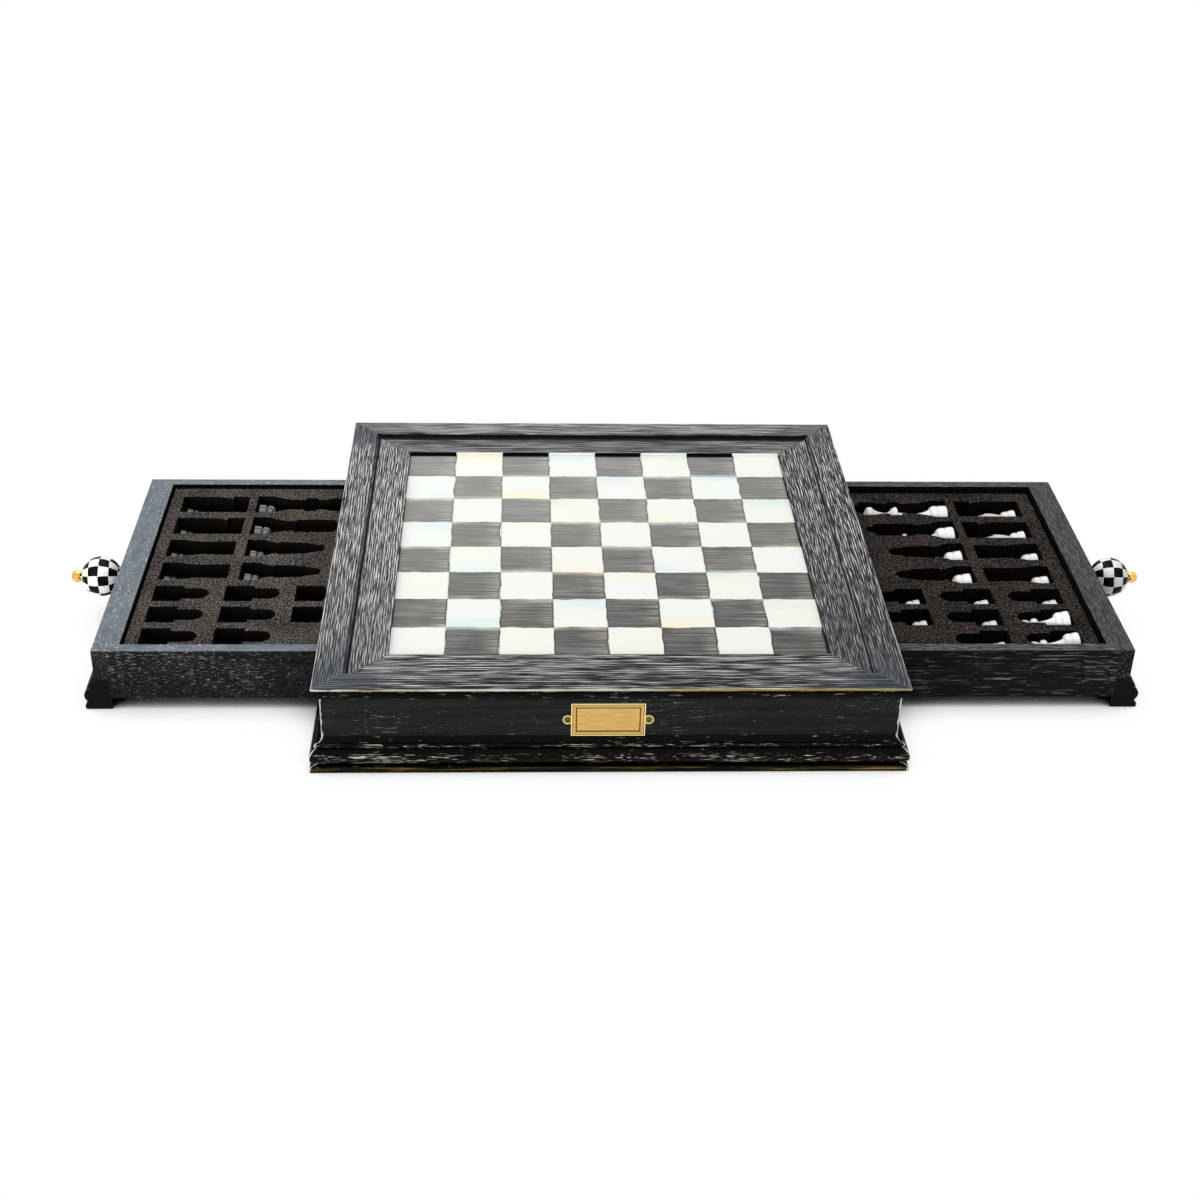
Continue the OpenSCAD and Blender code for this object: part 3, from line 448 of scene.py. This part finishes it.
def enamel():
    """Hand-painted checks: cream and grey squares with wavering edges under one glaze."""
    s = Shader("enamel")
    waver = s.noise(s.point, 55.0, 2.0, 0.5, out=1)
    shift = s.node("VectorMath", waver, (0.5, 0.5, 0.5), operation="SUBTRACT")
    shift = s.node("VectorMath", shift, None, None, 0.0046, operation="SCALE")
    x, y, _ = s.split(s.node("VectorMath", s.point, shift, operation="ADD"))
    u = s.mul(s.add(x, BOARD), 1 / PITCH)
    v = s.mul(s.add(y, BOARD), 1 / PITCH)
    column = s.math("MINIMUM", s.math("MAXIMUM", s.math("FLOOR", u), 0.0), 7.0)
    row = s.math("MINIMUM", s.math("MAXIMUM", s.math("FLOOR", v), 0.0), 7.0)
    dark = s.math("MODULO", s.add(column, row), 2.0)
    fu, fv = s.sub(u, column), s.sub(v, row)
    edge = s.min(s.min(fu, s.sub(1.0, fu)), s.min(fv, s.sub(1.0, fv)))
    r1, r2, r3 = s.split(s.node("TexWhiteNoise", s.vec(column, row, 0.0), out=1))

    # grey squares: level brush strokes, paler towards the right end
    strokes = s.noise(s.vec(s.mul(s.x, 20.0), s.mul(s.y, 1100.0), s.mul(r1, 40.0)), 1.0, 3.0, 0.6)
    tone = s.noise(s.vec(s.mul(s.x, 30.0), s.mul(s.y, 40.0), s.mul(r2, 9.0)), 1.0, 2.0)
    grey = s.ramp(s.add(s.mul(strokes, 0.75), s.mul(tone, 0.25)),
                  [(0.38, srgb(44, 43, 42)), (0.5, srgb(89, 88, 85)), (0.62, srgb(142, 140, 134))])
    dry = s.mul(s.grow(fu, 0.60, 0.96), s.grow(strokes, 0.42, 0.62))
    grey = s.mix(s.mul(dry, 0.7), grey, srgb(190, 187, 174))
    grey = s.mix(s.mul(s.grow(edge, 0.045, 0.012), 0.85), grey, srgb(50, 48, 45))
    # grey squares painted lighter towards the far left, a painted reflection of the light at the
    # back, and darker towards the near right, painted shade
    painted_sheen = s.add(s.mul(s.grow(s.y, -0.16, 0.12), 0.26), s.mul(s.grow(s.x, 0.12, -0.20), 0.13))
    painted_shade = s.add(s.mul(s.grow(s.y, 0.06, -0.20), 0.20), s.mul(s.grow(s.x, 0.0, 0.22), 0.20))
    grey = s.mix(painted_sheen, grey, srgb(188, 187, 180))
    grey = s.mix(painted_shade, grey, srgb(38, 38, 36))

    # cream squares with washes of yellow and blue along one edge
    wash = s.noise(s.vec(s.mul(s.x, 14.0), s.mul(s.y, 30.0), s.mul(r3, 20.0)), 1.0, 2.0)
    cream = s.mix(s.grow(r1, 0.2, 0.8), srgb(243, 243, 234), srgb(241, 244, 239))
    near_edge = s.blend(s.math("GREATER_THAN", r2, 0.5), fv, s.sub(1.0, fv))
    stain = s.mul(s.grow(near_edge, 0.55, 0.04), s.grow(wash, 0.36, 0.60))
    tint = s.ramp(r3, [(0.0, srgb(253, 238, 200)), (0.42, srgb(251, 239, 208)),
                       (0.5, srgb(246, 246, 238)), (0.62, srgb(220, 237, 242)),
                       (0.85, srgb(212, 232, 238)), (1.0, srgb(220, 234, 212))])
    cream = s.mix(s.mul(stain, 0.7), cream, tint)
    # coloured washes also run over a few grey squares' edges
    grey = s.mix(s.mul(s.mul(stain, s.grow(near_edge, 0.14, 0.03)), 0.5), grey, tint)

    color = s.mix(dark, cream, grey)
    rim = s.max(s.grow(s.max(s.abs(s.x), s.abs(s.y)), BOARD - 0.0011, BOARD - 0.0004),
                s.grow(s.y, BOARD - 0.0046, BOARD - 0.0030))
    color = s.mix(s.mul(rim, dark), color, srgb(12, 11, 10))
    s.bump(s.add(s.mul(strokes, dark), s.mul(s.noise(s.point, 60.0, 2.0), 1.4)), 0.12, 0.0006)
    return s.set(color=color, rough=0.34, specular=0.14)


give(enamel(), "light_squares", "dark_squares")
plate = Shader("board_plate")
give(plate.set(color=srgb(18, 18, 18), rough=0.5, metal=0.0), "board_plate")


# ------------------------------------------------------------------------ foam

def foam(name, wall, dark, mid, light):
    """Cut, flocked foam: speckled top, near black inside the pockets as painted shade."""
    s = Shader(name)
    grains = s.noise(s.point, 860.0, 2.0, 0.7)
    cells = s.noise(s.point, 420.0, 2.0, 0.6)
    soft = s.noise(s.point, 26.0, 2.0)
    value = s.add(s.add(s.mul(grains, 0.62), s.mul(cells, 0.28)), s.mul(soft, 0.1))
    color = s.ramp(value, [(0.42, dark), (0.5, mid), (0.575, light)])
    level = s.grow(s.up, 0.5, 0.9)
    # faces that are not level take the near black wall colour: painted shade in the pockets
    color = s.mix(level, wall, color)
    s.bump(value, 0.7, 0.0014)
    return s.set(color=color, rough=0.95, specular=0.05)


# the right tray's colours are darker than the left's: painted shade, the light coming from the
# left
give(foam("foam_left", srgb(16, 15, 14), srgb(14, 13, 12), srgb(51, 47, 44), srgb(122, 116, 108)),
     "left_foam_tray")
give(foam("foam_right", srgb(9, 8, 8), srgb(6, 5, 5), srgb(34, 31, 29), srgb(88, 81, 75)),
     "right_foam_tray")
# near black pocket floors: painted shade at the bottom of the pockets
base = Shader("foam_base")
give(base.set(color=srgb(12, 12, 11), rough=1.0, specular=0.05),
     "left_foam_base", "right_foam_base")


# ------------------------------------------------------------------- chess men

def men(name, body, high, rough):
    """Cast resin with faint mould marbling."""
    s = Shader(name)
    cloud = s.noise(s.point, 120.0, 3.0, 0.6)
    s.bump(s.noise(s.point, 500.0, 2.0), 0.08, 0.0004)
    return s.set(color=s.mix(s.grow(cloud, 0.35, 0.7), body, high), rough=rough, specular=0.25,
                 coat=0.6, coat_rough=0.12)


MEN = ("king", "queen", "bishops", "knights", "rooks", "pawns")
give(men("men_black", srgb(14, 16, 19), srgb(26, 29, 33), 0.26), *["black_" + m for m in MEN])
give(men("men_white", srgb(254, 254, 253), srgb(250, 250, 248), 0.4), *["white_" + m for m in MEN])


# ----------------------------------------------------------------------- knobs

def checked_ball(name, side):
    """Enamelled ball: twelve sectors round the X axis and six bands of latitude."""
    s = Shader(name)
    low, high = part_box(side + "_knob_ball")
    radius = (high.z - low.z) / 2
    centre_x = OUTER_X[side] + SIDES[side] * KNOB_OUT
    centre_z = (low.z + high.z) / 2
    u = s.mul(s.sub(s.x, centre_x), SIDES[side] / radius)
    w = s.sub(s.z, centre_z)
    noise = s.noise(s.point, 130.0, 2.0)
    latitude = s.math("ARCSINE", s.min(s.max(u, -1.0), 1.0))
    # the noise, about 0.5, makes the painted edges waver
    band = s.math("FLOOR", s.add(s.mul(latitude, 6 / pi),
                                 s.math("MULTIPLY_ADD", noise, 0.16, 6 - 0.08)))
    angle = s.math("ARCTAN2", w, s.mul(s.y, -1.0))
    sector = s.math("FLOOR", s.add(s.mul(angle, 6 / pi),
                                   s.math("MULTIPLY_ADD", noise, -0.16, 12 + 0.08)))
    black = s.math("MODULO", s.add(band, sector), 2.0)
    ink = s.mix(s.grow(noise, 0.4, 0.6), srgb(5, 5, 6), srgb(18, 18, 20))
    paint = s.mix(s.grow(noise, 0.4, 0.65), srgb(252, 252, 250), srgb(240, 241, 240))
    s.bump(s.mul(black, 0.6), 0.2, 0.0003)
    return s.set(color=s.mix(black, paint, ink), rough=0.2, specular=0.05)


def bare_metal(name, a, b, rough):
    """Polished metal, faintly clouded from a to b."""
    s = Shader(name)
    cloud = s.noise(s.point, 220.0, 3.0, 0.6)
    s.bump(s.noise(s.point, 800.0, 2.0), 0.05, 0.0003)
    return s.set(color=s.mix(s.grow(cloud, 0.35, 0.65), a, b), rough=rough, metal=1.0)


def tag():
    """Brass plate: satin field, dark lines beside its raised border."""
    s = Shader("name_plate")
    low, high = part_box("name_plate")
    along = s.abs(s.sub(s.x, (low.x + high.x) / 2))
    rise = s.sub(s.z, (low.z + high.z) / 2)
    inset = s.min(s.sub(TAG_HALF, along), s.sub(TAG_RISE, s.abs(rise)))
    line = s.band(inset, 0.0033, 0.0037, 0.0044, 0.0048)
    rim = s.band(inset, 0.0007, 0.0010, 0.0014, 0.0018)
    bright = s.band(inset, -0.0002, 0.0, 0.0006, 0.0009)
    ear = s.ring(s.sub(along, TAG_HALF + EAR_OUT), rise)
    ears = s.grow(inset, 0.0, -0.0003)
    bright = s.max(bright, s.mul(ears, s.grow(ear, 0.0032, 0.0036)))
    rim = s.max(rim, s.mul(ears, s.grow(ear, 0.0034, 0.0030)))
    brushed = s.noise(s.vec(s.mul(s.x, 60.0), s.mul(s.z, 1400.0), 0.0), 1.0, 3.0)
    field = s.mix(s.grow(brushed, 0.3, 0.7), srgb(198, 154, 80), srgb(226, 186, 112))
    color = s.mix(s.mul(line, 0.9), field, srgb(70, 44, 14))
    color = s.mix(s.mul(rim, 0.7), color, srgb(96, 66, 24))
    color = s.mix(s.mul(bright, 0.9), color, srgb(252, 240, 176))
    s.bump(s.add(s.mul(brushed, 0.2), s.mul(line, -1.0)), 0.3, 0.0003)
    return s.set(color=color, rough=0.36, metal=0.75)


def tack():
    """Screw heads of the plate: dark slots, a bright ring and a dark edge."""
    s = Shader("tack_brass")
    low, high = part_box("name_plate_screws")
    cx, cz = (low.x + high.x) / 2, (low.z + high.z) / 2
    dx = s.sub(s.abs(s.sub(s.x, cx)), (high.x - low.x) / 2 - 0.0021)
    dz = s.sub(s.z, cz)
    ring = s.ring(dx, dz)
    slot = s.mul(s.grow(s.min(s.abs(s.add(dx, dz)), s.abs(s.sub(dx, dz))), 0.0007, 0.0004),
                 s.grow(ring, 0.0017, 0.0013))
    color = s.ramp(s.mul(ring, 400.0), [(0.2, srgb(90, 60, 24)), (0.50, srgb(190, 148, 80)),
                                        (0.72, srgb(44, 28, 10))])
    return s.set(color=s.mix(s.mul(slot, 0.9), color, srgb(30, 20, 8)), rough=0.34, metal=0.8)


for side in SIDES:
    give(checked_ball(side + "_checks", side), side + "_knob_ball")
    give(bare_metal(side + "_bead_brass", srgb(228, 178, 84), srgb(242, 204, 122), 0.16),
         side + "_knob_bead")
    give(bare_metal(side + "_screw_steel", srgb(150, 150, 152), srgb(180, 180, 182), 0.3),
         side + "_knob_screw")
give(tag(), "name_plate")
give(tack(), "name_plate_screws")


# ---------------------------------------------------------------------- studio

FLOOR_SIZE = 14.0
FLOOR_Z = -0.0004      # just under the feet, so that no two faces share a plane
SHADE_REACH = 0.05     # how far away the object still shades the floor
AMBIENT = 0.48         # what the white surroundings light the object with


def seen_rays(tree):
    """1 for what shows directly, in a gloss or through glass; 0 for what only lights."""
    path = tree.nodes.new("ShaderNodeLightPath")
    seen = path.outputs["Is Camera Ray"]
    for ray in ("Is Glossy Ray", "Is Transmission Ray"):
        either = tree.nodes.new("ShaderNodeMath")
        either.operation = "MAXIMUM"
        tree.links.new(seen, either.inputs[0])
        tree.links.new(path.outputs[ray], either.inputs[1])
        seen = either.outputs[0]
    return seen


def floor():
    """White floor that keeps the object's shadow and is plain white further out; near the object
    its colour is darkened by ambient occlusion, painted shade.
    """
    bpy.ops.mesh.primitive_plane_add(size=FLOOR_SIZE, location=(0, 0, FLOOR_Z))
    plane = bpy.context.object
    plane.name = "studio_floor"
    s = Shader("studio_floor")
    # how open the floor is: near 0 under a drawer, half at its edge
    ao = s.tree.nodes.new("ShaderNodeAmbientOcclusion")
    ao.samples = 6
    ao.inputs["Distance"].default_value = SHADE_REACH
    sky = ao.outputs["AO"]
    clear = s.grow(sky, 0.31, 0.50)
    soft = s.grow(sky, 0.44, 0.76)
    # colour darkened from 0.93 to 0.04 by the occlusion: painted shade under and beside the object
    s.set(color=s.mix(s.grow(sky, 0.17, 0.56), (0.04, 0.04, 0.04, 1), (0.93, 0.93, 0.93, 1)),
          rough=0.9, specular=0.0)
    white = s.node("Emission", (1, 1, 1, 1), 1.0)
    fade = s.mul(seen_rays(s.tree), s.mul(clear, s.math("MULTIPLY_ADD", soft, 0.35, 0.65)))
    s.feed(s.output.inputs[0], s.node("MixShader", fade, s.bsdf.outputs[0], white))
    plane.data.materials.append(s.material)


def area(name, place, aim, size, power, glossy=True):
    """Soft lamp aimed at a point; glossy says whether it shows in gloss."""
    data = bpy.data.lights.new(name, "AREA")
    data.shape = "RECTANGLE"
    data.size, data.size_y = size
    data.energy = power
    lamp = bpy.data.objects.new(name, data)
    scene.collection.objects.link(lamp)
    lamp.location = place
    lamp.visible_glossy = glossy
    lamp.rotation_euler = (Vector(place) - Vector(aim)).to_track_quat("Z", "Y").to_euler()


def world():
    """White where it shows, and AMBIENT as light."""
    w = bpy.data.worlds.new("studio")
    w.use_nodes = True
    t = w.node_tree
    t.nodes.clear()
    out = t.nodes.new("ShaderNodeOutputWorld")
    back = t.nodes.new("ShaderNodeBackground")
    back.inputs[0].default_value = (1, 1, 1, 1)
    level = t.nodes.new("ShaderNodeMix")
    level.inputs[2].default_value = AMBIENT
    level.inputs[3].default_value = 1.0
    t.links.new(seen_rays(t), level.inputs[0])
    t.links.new(level.outputs[0], back.inputs[1])
    t.links.new(back.outputs[0], out.inputs[0])
    scene.world = w


def camera():
    """The photograph's viewpoint, fitted to the edges of the box."""
    place = (-0.071643, -1.398309, 0.870350)
    yaw, pitch, roll = 0.051, 0.549, 0.027
    ahead = Vector((sin(yaw) * cos(pitch), cos(yaw) * cos(pitch), -sin(pitch)))
    flat = Vector((cos(yaw), -sin(yaw), 0))
    above = flat.cross(ahead)
    right = cos(roll) * flat + sin(roll) * above
    up = cos(roll) * above - sin(roll) * flat
    data = bpy.data.cameras.new("camera")
    data.lens = 55.592
    data.sensor_width = 36.0
    data.clip_end = 50.0
    cam = bpy.data.objects.new("camera", data)
    scene.collection.objects.link(cam)
    turn = Matrix((right, up, -ahead)).transposed().to_4x4()
    cam.matrix_world = Matrix.Translation(place) @ turn
    scene.camera = cam


floor()
world()
area("top_softbox", (-0.45, 0.7, 2.1), (0, 0, 0), size=(1.8, 1.4), power=22.0)
area("back_strip", (0.0, 2.2, 0.98), (0, 0, 0.05), size=(2.8, 0.5), power=7.0)
area("front_fill", (-1.6, -2.2, 0.7), (-0.2, 0, 0.05), size=(2.2, 0.9), power=54.0, glossy=False)
camera()
scene.view_settings.view_transform = "Standard"
